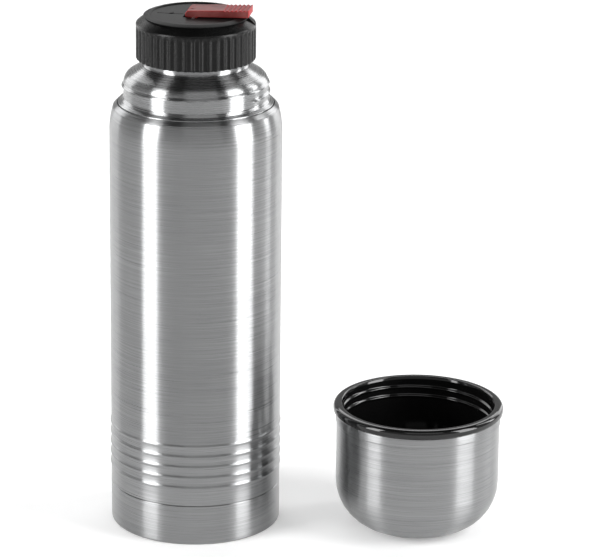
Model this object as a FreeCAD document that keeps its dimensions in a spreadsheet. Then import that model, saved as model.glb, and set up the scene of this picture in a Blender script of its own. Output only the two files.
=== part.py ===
"""Vacuum flask with a lever stopper, and its cup standing beside it.

The origin is the centre of the flask's base, on the surface it stands on. +Z is up and +X points along
the lever, towards the cup. Lengths are millimetres.
"""

import FreeCAD, Part
import os

import Sketcher

SIZES = {
    # outer jacket
    "body_radius": 45.0,
    "steel_wall": 0.6,
    "body_height": 231.0,
    "shoulder_radius": 41.9,
    "shoulder_corner_height": 228.2,
    "shoulder_round": 3.0,
    "seam_height": 21.8,
    "seam_gap": 0.1,
    "bead_first_height": 32.0,
    "bead_pitch": 5.77,
    "bead_rise": 0.4,
    "bead_half_width": 1.3,
    "bead_count": 5,
    # base
    "base_edge_round": 1.5,
    "spigot_height": 4.7,
    "base_groove_radius": 31.0,
    "base_groove_width": 2.0,
    "base_groove_depth": 0.25,
    "jacket_bottom_height": 28.0,
    "jacket_bottom_rise": 3.0,
    "jacket_bottom_radius": 44.3,
    "seal_radius": 3.0,
    "seal_height": 1.4,
    "getter_radius": 8.0,
    "getter_height": 1.6,
    # neck
    "neck_radius": 37.6,
    "neck_foot_height": 232.2,
    "neck_top_height": 244.6,
    "neck_round": 6.0,
    "thread_crest_radius": 38.4,
    "thread_height": 239.6,
    "thread_half_width": 1.2,
    "mouth_radius": 27.0,
    "mouth_foot_height": 250.2,
    "mouth_height": 261.4,
    # inner vessel
    "inner_radius": 40.0,
    "inner_wall": 0.5,
    "inner_base_height": 36.0,
    "inner_base_round": 12.0,
    "inner_shoulder_height": 216.0,
    "inner_neck_height": 227.0,
    "inner_neck_radius": 26.2,
    "rim_thickness": 0.6,
    "foil_gap": 0.15,
    "foil_thickness": 0.2,
    "foil_low": 50.0,
    "foil_high": 212.0,
    # stopper cap and disc
    "cap_radius": 31.1,
    "cap_low": 254.7,
    "cap_shoulder_height": 272.3,
    "cap_skirt_radius": 29.6,
    "cap_deck_low": 270.0,
    "cap_deck_high": 274.0,
    "cap_top_radius": 26.4,
    "cap_top_height": 275.9,
    "cap_edge_round": 0.8,
    "cap_well_radius": 13.8,
    "flute_count": 48,
    "flute_radius": 2.2,
    "flute_depth": 0.75,
    "flute_top": 271.4,
    "spout_width": 9.0,
    "spout_depth": 4.5,
    "disc_radius": 27.2,
    "disc_under": 276.0,
    "disc_edge_high": 276.5,
    "disc_face": 276.7,
    "disc_lip_high": 277.4,
    "disc_lip_radius": 24.7,
    "disc_lip_width": 1.3,
    "disc_spigot_radius": 25.2,
    "well_back": 5.7,
    "well_front": 2.6,
    "well_half_width": 7.3,
    "well_floor": 271.0,
    "well_wall": 1.2,
    # lever, pin and valve
    "pin_height": 276.2,
    "pin_radius": 0.9,
    "pin_length": 19.0,
    "pin_clearance": 0.05,
    "lever_back": 4.4,
    "lever_front": 28.6,
    "lever_width": 14.0,
    "lever_under_back": 276.9,
    "lever_under_front": 277.75,
    "lever_top_back": 280.2,
    "lever_top_front": 281.6,
    "lever_bevel": 1.2,
    "hub_radius": 1.6,
    "cam_width": 6.0,
    "cam_radius": 3.05,
    "cam_offset": 1.35,
    "grip_count": 6,
    "grip_pitch": 2.2,
    "grip_depth": 0.5,
    "grip_width": 1.3,
    "stem_radius": 2.0,
    "stem_clearance": 0.3,
    "button_radius": 2.2,
    "button_high": 274.4,
    "button_low": 273.0,
    # plug
    "plug_radius": 24.9,
    "plug_wall": 1.8,
    "plug_low": 226.0,
    "plug_floor_thickness": 2.0,
    "plug_thread_rise": 0.5,
    "plug_thread_pitch": 8.0,
    "plug_thread_turns": 1.75,
    "plug_thread_low": 242.0,
    "plug_thread_width": 2.4,
    "flange_radius": 29.4,
    "flange_low": 263.7,
    "flange_high": 266.0,
    "tube_radius": 8.4,
    "tube_bore": 7.0,
    "tube_high": 268.0,
    "foam_gap": 0.2,
    "foam_high": 262.0,
    "plug_seal_low": 229.0,
    "plug_seal_height": 3.0,
    "plug_seal_depth": 0.8,
    "plug_seal_proud": 0.5,
    "gasket_inner": 25.6,
    "gasket_outer": 27.2,
    "gasket_low": 262.1,
    "gasket_height": 1.6,
    "valve_radius": 9.4,
    "valve_thickness": 2.2,
    "valve_seal_inner": 7.4,
    "valve_seal_height": 1.0,
    "guide_low": 240.0,
    "guide_thickness": 2.0,
    "guide_hole_radius": 1.4,
    "guide_hole_circle": 4.6,
    "spring_length": 16.0,
    "spring_turns": 6.0,
    "spring_radius": 4.2,
    "spring_wire": 0.5,
    "retainer_radius": 5.4,
    "retainer_thickness": 1.2,
    # cup
    "cup_x": 118.6,
    "cup_y": 7.9,
    "cup_radius": 43.3,
    "cup_wall": 0.5,
    "cup_height": 63.8,
    "cup_bottom_round": 25.5,
    "cup_band_rise": 0.5,
    "cup_band_width": 4.6,
    "lip_radius": 45.1,
    "lip_height": 5.0,
    "lip_round": 1.8,
    "liner_radius": 40.2,
    "liner_gap": 0.2,
    "liner_floor": 3.2,
    "liner_floor_round": 20.0,
}

document = FreeCAD.newDocument("VacuumFlask")


def fill_sheet():
    """Write the driving sizes into a spreadsheet, one aliased cell each."""
    sheet = document.addObject("Spreadsheet::Sheet", "Sizes")
    for row, (alias, number) in enumerate(SIZES.items(), start=1):
        sheet.set(f"A{row}", alias)
        sheet.set(f"B{row}", str(number))
        sheet.setAlias(f"B{row}", alias)
    document.recompute()
    return sheet


class Size:
    """A length that carries both its number and the expression that binds it to the sheet."""

    def __init__(self, text, number):
        self.text = text
        self.number = number

    def joined(self, sign, other, number):
        return Size(f"({self.text} {sign} {as_size(other).text})", number)

    def __add__(self, other):
        return self.joined("+", other, self.number + as_size(other).number)

    def __sub__(self, other):
        return self.joined("-", other, self.number - as_size(other).number)

    def __mul__(self, other):
        return self.joined("*", other, self.number * as_size(other).number)

    def __truediv__(self, other):
        return self.joined("/", other, self.number / as_size(other).number)


def as_size(length):
    return length if isinstance(length, Size) else Size(repr(float(length)), float(length))


def size(alias):
    """One length of the sheet."""
    return Size(f"{sizes.Name}.{alias}", float(sizes.get(alias)))


# sketches and features

def new_body(name):
    body = document.addObject("PartDesign::Body", name)
    body.Label = name
    return body


def plane_of(body, role):
    return next(f for f in body.Origin.OriginFeatures if f.Role == role)


def new_sketch(body, name, role="XZ_Plane"):
    sketch = body.newObject("Sketcher::SketchObject", name)
    sketch.AttachmentSupport = [(plane_of(body, role), "")]
    sketch.MapMode = "FlatFace"
    return sketch


def pin_point(sketch, line, end, across, up):
    """Hold one end of a sketch line at its two sizes, or on an axis where a size is nought."""
    for kind, axis, length in (("DistanceX", -2, across), ("DistanceY", -1, up)):
        if abs(length.number) < 1e-9:
            sketch.addConstraint(Sketcher.Constraint("PointOnObject", line, end, axis))
            continue
        if length.number > 0:
            rule = Sketcher.Constraint(kind, -1, 1, line, end, length.number)
            text = length.text
        else:
            rule = Sketcher.Constraint(kind, line, end, -1, 1, -length.number)
            text = f"-({length.text})"
        index = sketch.addConstraint(rule)
        sketch.setExpression(f"Constraints[{index}]", text)


def outline(sketch, corners):
    """Draw a closed outline of straight lines whose corners are bound to the sheet."""
    corners = [(as_size(across), as_size(up)) for across, up in corners]
    points = [FreeCAD.Vector(across.number, up.number, 0) for across, up in corners]
    count = len(points)
    for index in range(count):
        line = Part.LineSegment(points[index], points[(index + 1) % count])
        sketch.addGeometry(line, False)
    for index in range(count):
        following = (index + 1) % count
        sketch.addConstraint(Sketcher.Constraint("Coincident", index, 2, following, 1))
    for index, (across, up) in enumerate(corners):
        pin_point(sketch, index, 1, across, up)


def circle(sketch, across, up, radius):
    """Draw a circle whose centre and radius are bound to the sheet."""
    across, up, radius = as_size(across), as_size(up), as_size(radius)
    centre = FreeCAD.Vector(across.number, up.number, 0)
    normal = FreeCAD.Vector(0, 0, 1)
    index = sketch.addGeometry(Part.Circle(centre, normal, radius.number), False)
    pin_point(sketch, index, 3, across, up)
    rule = sketch.addConstraint(Sketcher.Constraint("Radius", index, radius.number))
    sketch.setExpression(f"Constraints[{rule}]", radius.text)


def turn(body, name, corners, kind="PartDesign::Revolution"):
    """Turn an outline of (radius, height) corners about the upright axis."""
    sketch = new_sketch(body, f"{name}_outline")
    outline(sketch, corners)
    feature = body.newObject(kind, name)
    feature.Profile = sketch
    feature.ReferenceAxis = (sketch, ["V_Axis"])
    feature.Angle = 360
    sketch.Visibility = False
    document.recompute()
    return feature


def round_rings(body, feature, rings, radius):
    """Round the circular edges that lie at the given (radius, height) places."""
    found = []
    for number, edge in enumerate(feature.Shape.Edges, start=1):
        curve = edge.Curve
        if not isinstance(curve, Part.Circle):
            continue
        for across, up in rings:
            near_radius = abs(curve.Radius - as_size(across).number) < 1e-3
            near_height = abs(curve.Center.z - as_size(up).number) < 1e-3
            if near_radius and near_height:
                found.append(f"Edge{number}")
    if len(found) < len(rings):
        raise ValueError(f"{body.Label}: an edge to round is missing")
    fillet = body.newObject("PartDesign::Fillet", f"{feature.Name}_round")
    fillet.Base = (feature, found)
    fillet.setExpression("Radius", as_size(radius).text)
    document.recompute()
    return fillet


def cut_prism(body, name, role, corners, length, lift=None, both_ways=False):
    """Cut a straight pocket with the given outline out of the body, and check that it took material."""
    sketch = new_sketch(body, f"{name}_outline", role)
    outline(sketch, corners)
    if lift is not None:
        sketch.setExpression("AttachmentOffset.Base.z", as_size(lift).text)
    return finish_pocket(body, name, sketch, length, both_ways)


def finish_pocket(body, name, sketch, length, both_ways):
    before = body.Tip.Shape.Volume
    pocket = body.newObject("PartDesign::Pocket", name)
    pocket.Profile = sketch
    pocket.Midplane = both_ways
    pocket.setExpression("Length", as_size(length).text)
    sketch.Visibility = False
    document.recompute()
    if pocket.Shape.Volume > before - 1e-6:
        pocket.Reversed = True
        document.recompute()
    if pocket.Shape.Volume > before - 1e-6:
        raise ValueError(f"{name} cuts nothing")
    return pocket


def pad_prism(body, name, role, corners, length, both_ways=True):
    sketch = new_sketch(body, f"{name}_outline", role)
    outline(sketch, corners)
    return finish_pad(body, name, sketch, length, both_ways)


def finish_pad(body, name, sketch, length, both_ways):
    pad = body.newObject("PartDesign::Pad", name)
    pad.Profile = sketch
    pad.Midplane = both_ways
    pad.setExpression("Length", as_size(length).text)
    sketch.Visibility = False
    document.recompute()
    return pad


def ring(name, inner, outer, low, high):
    """A plain turned ring, or a disc where the inner radius is nought."""
    body = new_body(name)
    turn(body, f"{name}_turned", [(inner, low), (outer, low), (outer, high), (inner, high)])
    return body


# vessel

def make_outer_shell():
    """The steel jacket: a straight tube with five rolled beads, drawn in at the shoulder."""
    body = new_body("outer_shell")
    radius = size("body_radius")
    wall = size("steel_wall")
    low = size("seam_height") + size("seam_gap")
    corner = size("shoulder_corner_height")
    edge = size("shoulder_radius")
    high = size("body_height")
    feature = turn(body, "jacket", [
        (radius - wall, low),
        (radius, low),
        (radius, corner),
        (edge, high),
        (edge, high - wall),
        (radius - wall, corner - wall / 2),
    ])
    round_rings(body, feature, [(radius, corner)], size("shoulder_round"))
    bead = turn(body, "bead", [
        (radius - wall / 2, size("bead_first_height") - size("bead_half_width")),
        (radius, size("bead_first_height") - size("bead_half_width")),
        (radius + size("bead_rise"), size("bead_first_height") - size("bead_half_width") / 3),
        (radius + size("bead_rise"), size("bead_first_height") + size("bead_half_width") / 3),
        (radius, size("bead_first_height") + size("bead_half_width")),
        (radius - wall / 2, size("bead_first_height") + size("bead_half_width")),
    ])
    rows = body.newObject("PartDesign::LinearPattern", "bead_rows")
    rows.Originals = [bead]
    rows.Direction = (bead.Profile[0], ["V_Axis"])
    rows.Occurrences = int(size("bead_count").number)
    steps = size("bead_count") - 1
    rows.setExpression("Length", (size("bead_pitch") * steps).text)
    body.Tip = rows
    document.recompute()
    return body


def make_base_cap():
    """The steel foot: a shallow can with a spigot that enters the jacket and a grooved underside."""
    body = new_body("base_cap")
    radius = size("body_radius")
    wall = size("steel_wall")
    spigot = radius - wall - 0.1
    seam = size("seam_height")
    top = seam + size("spigot_height")
    feature = turn(body, "can", [
        (0, 0),
        (radius, 0),
        (radius, seam),
        (spigot, seam),
        (spigot, top),
        (spigot - wall, top),
        (spigot - wall, wall),
        (0, wall),
    ])
    round_rings(body, feature, [(radius, 0)], size("base_edge_round"))
    groove = size("base_groove_radius")
    turn(body, "foot_groove", [
        (groove, 0),
        (groove + size("base_groove_width"), 0),
        (groove + size("base_groove_width"), size("base_groove_depth")),
        (groove, size("base_groove_depth")),
    ], "PartDesign::Groove")
    return body


def make_jacket_bottom():
    """The dished steel disc that closes the vacuum space."""
    body = new_body("jacket_bottom")
    low = size("jacket_bottom_height")
    raised = low + size("jacket_bottom_rise")
    radius = size("jacket_bottom_radius")
    wall = size("steel_wall")
    turn(body, "dish", [
        (0, raised),
        (radius * 0.8, raised),
        (radius - 2, low),
        (radius, low),
        (radius, low + wall),
        (radius - 1.7, low + wall),
        (radius * 0.8 + 0.2, raised + wall),
        (0, raised + wall),
    ])
    return body


def make_neck_collar():
    """The steel neck: the ledge under the cup, the cup's thread, the dome and the mouth tube."""
    body = new_body("neck_collar")
    wall = size("steel_wall")
    edge = size("shoulder_radius") - size("seam_gap")
    high = size("body_height")
    neck = size("neck_radius")
    mouth = size("mouth_radius")
    foot = size("neck_foot_height")
    dome = size("neck_top_height")
    root = size("mouth_foot_height")
    feature = turn(body, "neck", [
        (edge, high - wall),
        (edge, high),
        (neck + 1.2, foot),
        (neck, foot + 0.8),
        (neck, dome),
        (mouth, root),
        (mouth, size("mouth_height")),
        (mouth - wall, size("mouth_height")),
        (mouth - wall, root - wall / 2),
        (neck - wall, dome - wall / 2),
        (neck - wall, foot - wall / 2),
    ])
    rounded = round_rings(body, feature, [(neck, dome)], size("neck_round"))
    body.Tip = rounded
    half = size("thread_half_width")
    middle = size("thread_height")
    turn(body, "cup_thread", [
        (neck - wall / 2, middle - half),
        (neck, middle - half),
        (size("thread_crest_radius"), middle - half / 3),
        (size("thread_crest_radius"), middle + half / 3),
        (neck, middle + half),
        (neck - wall / 2, middle + half),
    ])
    return body


def make_inner_vessel():
    """The steel bottle that holds the drink, with its mouth flange folded over the neck."""
    body = new_body("inner_vessel")
    radius = size("inner_radius")
    wall = size("inner_wall")
    low = size("inner_base_height")
    neck = size("inner_neck_radius")
    shoulder = size("inner_shoulder_height")
    neck_foot = size("inner_neck_height")
    rim = size("mouth_height") + 0.1
    top = rim + size("rim_thickness")
    feature = turn(body, "bottle", [
        (0, low),
        (radius, low),
        (radius, shoulder),
        (neck, neck_foot),
        (neck, rim),
        (size("mouth_radius"), rim),
        (size("mouth_radius"), top),
        (neck - wall, top),
        (neck - wall, neck_foot - wall / 3),
        (radius - wall, shoulder - wall / 3),
        (radius - wall, low + wall),
        (0, low + wall),
    ])
    outside = round_rings(body, feature, [(radius, low)], size("inner_base_round"))
    inside = (radius - wall, low + wall)
    round_rings(body, outside, [inside], size("inner_base_round") - wall)
    return body


def make_vacuum_parts():
    """The foil round the inner vessel, the getter above the dish and the seal that closes its port."""
    inner = size("inner_radius") + size("foil_gap")
    dish = size("jacket_bottom_height") + size("jacket_bottom_rise")
    wall = size("steel_wall")
    outer = inner + size("foil_thickness")
    foil = ring("reflective_foil", inner, outer, size("foil_low"), size("foil_high"))
    getter = ring("getter", 0, size("getter_radius"), dish + wall, dish + wall + size("getter_height"))
    seal = ring("vacuum_seal", 0, size("seal_radius"), dish - size("seal_height"), dish)
    return [foil, getter, seal]


# stopper

def make_stopper_cap():
    """The black grip: a fluted skirt, a sloping shoulder, and a deck with a pour channel towards +X."""
    body = new_body("stopper_cap")
    radius = size("cap_radius")
    low = size("cap_low")
    shoulder = size("cap_shoulder_height")
    skirt = size("cap_skirt_radius")
    deck_low = size("cap_deck_low")
    deck_high = size("cap_deck_high")
    top_radius = size("cap_top_radius")
    seat = size("disc_spigot_radius") + 0.1
    well = size("cap_well_radius")
    feature = turn(body, "grip", [
        (skirt, low),
        (radius, low),
        (radius, shoulder),
        (top_radius, size("cap_top_height")),
        (seat, size("cap_top_height")),
        (seat, deck_high),
        (well, deck_high),
        (well, deck_low),
        (skirt, deck_low),
    ])
    rounded = round_rings(body, feature, [(radius, shoulder)], size("cap_edge_round"))
    body.Tip = rounded
    sketch = new_sketch(body, "flute_outline", "XY_Plane")
    circle(sketch, radius + size("flute_radius") - size("flute_depth"), 0, size("flute_radius"))
    sketch.setExpression("AttachmentOffset.Base.z", low.text)
    flute = finish_pocket(body, "flute", sketch, size("flute_top") - low, False)
    flutes = body.newObject("PartDesign::PolarPattern", "flutes")
    flutes.Originals = [flute]
    flutes.Axis = (sketch, ["N_Axis"])
    flutes.Angle = 360
    flutes.setExpression("Occurrences", size("flute_count").text)
    body.Tip = flutes
    document.recompute()
    half = size("spout_width") / 2
    top = size("cap_top_height") + 0.5
    sketch = new_sketch(body, "spout_outline", "YZ_Plane")
    outline(sketch, [
        (half * -1, top),
        (0, top - size("spout_depth")),
        (half, top),
    ])
    sketch.setExpression("AttachmentOffset.Base.z", size("cap_well_radius").text)
    finish_pocket(body, "spout", sketch, radius, False)
    return body


def make_top_disc():
    """The disc on the stopper: a sloping rim, a raised lip, and the well that the lever's heel turns in."""
    body = new_body("top_disc")
    radius = size("disc_radius")
    lip = size("disc_lip_radius")
    lip_inside = lip - size("disc_lip_width")
    turn(body, "disc", [
        (0, size("cap_deck_high")),
        (size("disc_spigot_radius"), size("cap_deck_high")),
        (size("disc_spigot_radius"), size("disc_under")),
        (radius, size("disc_under")),
        (radius, size("disc_edge_high")),
        (lip, size("disc_lip_high")),
        (lip_inside, size("disc_lip_high")),
        (lip_inside - 0.4, size("disc_face")),
        (0, size("disc_face")),
    ])
    wall = size("well_wall")
    back = (size("well_back") + wall) * -1
    front = size("well_front") + wall
    half = size("well_half_width") + wall
    floor = size("well_floor") - wall
    sketch = new_sketch(body, "well_box_outline", "XY_Plane")
    outline(sketch, [(back, half * -1), (front, half * -1), (front, half), (back, half)])
    sketch.setExpression("AttachmentOffset.Base.z", floor.text)
    finish_pad(body, "well_box", sketch, size("cap_deck_high") - floor + 1, False)
    back = size("well_back") * -1
    front = size("well_front")
    half = size("well_half_width")
    sketch = new_sketch(body, "well_outline", "XY_Plane")
    outline(sketch, [(back, half * -1), (front, half * -1), (front, half), (back, half)])
    sketch.setExpression("AttachmentOffset.Base.z", size("disc_lip_high").text)
    finish_pocket(body, "well", sketch, size("disc_lip_high") - size("well_floor"), False)
    sketch = new_sketch(body, "stem_hole_outline", "XY_Plane")
    circle(sketch, 0, 0, size("stem_radius") + size("stem_clearance"))
    sketch.setExpression("AttachmentOffset.Base.z", (floor - 1).text)
    finish_pocket(body, "stem_hole", sketch, wall + 2, False)
    sketch = new_sketch(body, "pin_hole_outline", "XZ_Plane")
    circle(sketch, 0, size("pin_height"), size("pin_radius"))
    finish_pocket(body, "pin_hole", sketch, size("pin_length"), True)
    return body


def make_lever_pin():
    body = new_body("lever_pin")
    sketch = new_sketch(body, "lever_pin_outline", "XZ_Plane")
    circle(sketch, 0, size("pin_height"), size("pin_radius"))
    finish_pad(body, "lever_pin_rod", sketch, size("pin_length"), True)
    return body


def make_pour_lever():
    """The red lever: a blade that rises to its tip, a hub on the pin, a cam over the button, grip grooves."""
    body = new_body("pour_lever")
    pin = size("pin_height")
    under = size("lever_under_back")
    back = size("lever_back")
    front = size("lever_front")
    top_back = size("lever_top_back")
    top_front = size("lever_top_front")
    bevel = size("lever_bevel")
    hub = size("hub_radius")
    width = size("lever_width")
    pad_prism(body, "blade", "XZ_Plane", [
        (back * -1, under),
        (front, size("lever_under_front")),
        (front, top_front),
        (bevel - back, top_back),
        (back * -1, top_back - bevel),
    ], width)
    pad_prism(body, "web", "XZ_Plane", [
        (hub * -1, pin),
        (hub, pin),
        (hub, under + 0.5),
        (hub * -1, under + 0.5),
    ], width)
    sketch = new_sketch(body, "hub_outline", "XZ_Plane")
    circle(sketch, 0, pin, hub)
    finish_pad(body, "hub", sketch, width, True)
    sketch = new_sketch(body, "cam_outline", "XZ_Plane")
    circle(sketch, size("cam_offset") * -1, pin + size("cam_offset"), size("cam_radius"))
    finish_pad(body, "cam", sketch, size("cam_width"), True)
    sketch = new_sketch(body, "lever_hole_outline", "XZ_Plane")
    circle(sketch, 0, pin, size("pin_radius") + size("pin_clearance"))
    finish_pocket(body, "lever_hole", sketch, width + 1, True)
    half = size("grip_width") / 2
    rise = (top_front - top_back) / (front + back - bevel)
    for number in range(int(size("grip_count").number)):
        behind = size("grip_pitch") * number + size("grip_width")
        high = top_front - rise * behind
        cut_prism(body, f"grip_groove_{number + 1}", "XZ_Plane", [
            (front - behind - half, high + 0.1),
            (front - behind, high - size("grip_depth")),
            (front - behind + half, high + 0.1),
        ], width + 1, both_ways=True)
    return body


def make_stopper_plug():
    """The hollow plug: a threaded wall, a flange, a floor with the valve seat and the pour tube."""
    body = new_body("stopper_plug")
    radius = size("plug_radius")
    inner = radius - size("plug_wall")
    low = size("plug_low")
    floor = low + size("plug_floor_thickness")
    flange = size("flange_radius")
    tube = size("tube_radius")
    bore = size("tube_bore")
    deck = size("cap_deck_low")
    seal_low = size("plug_seal_low")
    seal_high = seal_low + size("plug_seal_height")
    turn(body, "plug", [
        (bore, low),
        (radius, low),
        (radius, seal_low),
        (radius - size("plug_seal_depth"), seal_low),
        (radius - size("plug_seal_depth"), seal_high),
        (radius, seal_high),
        (radius, size("flange_low")),
        (flange, size("flange_low")),
        (flange, size("flange_high")),
        (radius, size("flange_high")),
        (radius, deck),
        (inner, deck),
        (inner, floor),
        (tube, floor),
        (tube, size("tube_high")),
        (bore, size("tube_high")),
    ])
    sketch = new_sketch(body, "plug_thread_outline")
    half = size("plug_thread_width") / 2
    crest = radius + size("plug_thread_rise")
    start = size("plug_thread_low")
    outline(sketch, [
        (radius - 0.4, start - half),
        (crest, start - half / 3),
        (crest, start + half / 3),
        (radius - 0.4, start + half),
    ])
    thread = body.newObject("PartDesign::AdditiveHelix", "plug_thread")
    thread.Profile = sketch
    thread.ReferenceAxis = (sketch, ["V_Axis"])
    thread.Mode = 1
    thread.setExpression("Pitch", size("plug_thread_pitch").text)
    thread.setExpression("Turns", size("plug_thread_turns").text)
    thread.LeftHanded = False
    sketch.Visibility = False
    document.recompute()
    return body


def make_seals_and_foam():
    """The foam in the plug and the soft rings: at the mouth, on the plug and round the stem."""
    gap = size("foam_gap")
    floor = size("plug_low") + size("plug_floor_thickness")
    inner = size("tube_radius") + gap
    outer = size("plug_radius") - size("plug_wall") - gap
    foam = ring("plug_insulation", inner, outer, floor, size("foam_high"))
    low = size("gasket_low")
    high = low + size("gasket_height")
    gasket = ring("mouth_gasket", size("gasket_inner"), size("gasket_outer"), low, high)
    seat = size("plug_radius") - size("plug_seal_depth")
    low = size("plug_seal_low") + 0.1
    high = low + size("plug_seal_height") - 0.2
    seal = ring("plug_seal", seat + 0.1, size("plug_radius") + size("plug_seal_proud"), low, high)
    return [foam, gasket, seal]


def make_valve():
    """The sprung valve: a stem with a button under the cam, a head and its soft ring below the seat."""
    stem_radius = size("stem_radius")
    seat = size("plug_low")
    ring_low = seat - size("valve_seal_height")
    head_low = ring_low - size("valve_thickness")
    stem = new_body("valve_stem")
    turn(stem, "valve_stem_turned", [
        (0, head_low),
        (stem_radius, head_low),
        (stem_radius, size("button_low")),
        (size("button_radius"), size("button_low")),
        (size("button_radius"), size("button_high")),
        (0, size("button_high")),
    ])
    head = new_body("valve_head")
    turn(head, "valve_head_turned", [
        (stem_radius, head_low),
        (size("valve_radius"), head_low),
        (size("valve_radius"), ring_low),
        (size("valve_seal_inner"), ring_low),
        (size("tube_bore") - 0.6, seat),
        (stem_radius, seat),
    ])
    seal = ring("valve_seal", size("valve_seal_inner"), size("valve_radius"), ring_low, seat)
    low = size("guide_low") + size("guide_thickness") + size("spring_length")
    high = low + size("retainer_thickness")
    retainer = ring("spring_retainer", stem_radius, size("retainer_radius"), low, high)
    return [stem, head, seal, retainer]


def make_stem_guide():
    """The drilled washer in the pour tube that guides the stem and carries the spring."""
    low = size("guide_low")
    thickness = size("guide_thickness")
    body = ring("stem_guide", size("stem_radius") + 0.1, size("tube_bore"), low, low + thickness)
    sketch = new_sketch(body, "flow_hole_outline", "XY_Plane")
    circle(sketch, size("guide_hole_circle"), 0, size("guide_hole_radius"))
    sketch.setExpression("AttachmentOffset.Base.z", (low - 1).text)
    hole = finish_pocket(body, "flow_hole", sketch, thickness + 2, False)
    holes = body.newObject("PartDesign::PolarPattern", "flow_holes")
    holes.Originals = [hole]
    holes.Axis = (sketch, ["N_Axis"])
    holes.Angle = 360
    holes.Occurrences = 6
    body.Tip = holes
    document.recompute()
    return body


def make_valve_spring():
    """The coil spring between the guide and the retainer on the stem."""
    wire = size("spring_wire").number
    low = size("guide_low").number + size("guide_thickness").number + wire
    length = size("spring_length").number - 2 * wire
    radius = size("spring_radius").number
    path = Part.makeHelix(length / size("spring_turns").number, length, radius)
    start = FreeCAD.Vector(radius, 0, 0)
    section = Part.Wire([Part.makeCircle(wire, start, FreeCAD.Vector(0, 1, 0))])
    coil = Part.Wire(path.Edges).makePipeShell([section], True, True)
    feature = document.addObject("Part::Feature", "valve_spring")
    feature.Label = "valve_spring"
    feature.Shape = coil
    feature.Placement = FreeCAD.Placement(FreeCAD.Vector(0, 0, low), FreeCAD.Rotation())
    return feature


# cup

def place_cup_part(body):
    body.setExpression("Placement.Base.x", size("cup_x").text)
    body.setExpression("Placement.Base.y", size("cup_y").text)
    document.recompute()
    return body


def make_cup_shell():
    """The steel cup: a straight wall with a big round bottom and a proud band under the lip."""
    body = new_body("cup_shell")
    radius = size("cup_radius")
    wall = size("cup_wall")
    high = size("cup_height")
    band = radius + size("cup_band_rise")
    band_low = high - size("cup_band_width")
    round_radius = size("cup_bottom_round")
    feature = turn(body, "cup", [
        (0, 0),
        (radius, 0),
        (radius, band_low - 0.6),
        (band, band_low),
        (band, high),
        (radius - wall, high),
        (radius - wall, wall),
        (0, wall),
    ])
    outside = round_rings(body, feature, [(radius, 0)], round_radius)
    round_rings(body, outside, [(radius - wall, wall)], round_radius - wall)
    return place_cup_part(body)


def make_cup_liner():
    """The black liner: a moulded cup whose thick rolled lip covers the steel's edge."""
    body = new_body("cup_liner")
    outer = size("cup_radius") - size("cup_wall") - size("liner_gap")
    inner = size("liner_radius")
    low = size("cup_wall") + size("liner_gap")
    high = size("cup_height")
    top = high + size("lip_height")
    lip = size("lip_radius")
    floor = size("liner_floor")
    feature = turn(body, "liner", [
        (0, low),
        (outer, low),
        (outer, high),
        (lip, high),
        (lip, top),
        (inner, top),
        (inner, floor),
        (0, floor),
    ])
    clear = size("cup_bottom_round") - size("cup_wall") - size("liner_gap")
    outside = round_rings(body, feature, [(outer, low)], clear)
    inside = round_rings(body, outside, [(inner, floor)], size("liner_floor_round"))
    round_rings(body, inside, [(lip, high), (lip, top), (inner, top)], size("lip_round"))
    return place_cup_part(body)


def check_document(pieces):
    """Stop if any object failed, or if a piece is empty, broken or not made of closed solids."""
    document.recompute()
    for item in document.Objects:
        if {"Invalid", "Error"} & set(item.State):
            raise ValueError(f"{item.Label} failed: {item.State}")
    for piece in pieces:
        shape = piece.Shape
        if shape.isNull() or not shape.isValid() or not shape.Solids:
            raise ValueError(f"{piece.Label} is not a valid solid")


def write_steps(pieces):
    os.makedirs("parts", exist_ok=True)
    for piece in pieces:
        piece.Shape.exportStep(os.path.join("parts", f"{piece.Label}.step"))
        print(f"{piece.Label}: {len(piece.Shape.Solids)} solid, {piece.Shape.Volume / 1000:.2f} cm3")


sizes = fill_sheet()
flask_pieces = [
    make_outer_shell(),
    make_base_cap(),
    make_jacket_bottom(),
    make_neck_collar(),
    make_inner_vessel(),
    *make_vacuum_parts(),
    make_stopper_cap(),
    make_top_disc(),
    make_lever_pin(),
    make_pour_lever(),
    make_stopper_plug(),
    *make_seals_and_foam(),
    *make_valve(),
    make_stem_guide(),
    make_valve_spring(),
    make_cup_shell(),
    make_cup_liner(),
]
check_document(flask_pieces)
write_steps(flask_pieces)
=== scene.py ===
"""Looks of the steel vacuum flask with its lever stopper and its cup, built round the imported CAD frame.

Everything is in metres in the frame's own axes: +Z up, +X along the closed lever towards the cup.
"""

import math

import bmesh
import bpy
from mathutils import Matrix, Vector


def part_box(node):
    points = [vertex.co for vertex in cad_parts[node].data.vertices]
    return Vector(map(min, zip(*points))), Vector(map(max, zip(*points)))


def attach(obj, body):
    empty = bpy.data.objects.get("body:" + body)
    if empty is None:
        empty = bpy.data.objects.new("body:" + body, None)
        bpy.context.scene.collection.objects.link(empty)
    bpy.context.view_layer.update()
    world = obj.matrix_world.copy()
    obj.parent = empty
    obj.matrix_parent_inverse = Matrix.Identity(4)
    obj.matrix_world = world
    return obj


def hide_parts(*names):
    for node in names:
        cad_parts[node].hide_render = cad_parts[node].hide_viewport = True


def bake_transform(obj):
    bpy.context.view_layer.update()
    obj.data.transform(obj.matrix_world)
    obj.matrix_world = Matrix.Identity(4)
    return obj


MM = 0.001
ROUND_STEPS = 256  # segments round a turned piece
NECK_STEPS = 384  # segments round the neck, whose thread needs more
ARC_STEPS = 8  # segments in a quarter of a rounded corner
SHARP_ANGLE = 35  # degrees between faces from which an edge is shaded sharp
CUT_SHARP_ANGLE = 40  # the same, for a piece that another solid was cut from or joined to

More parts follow.
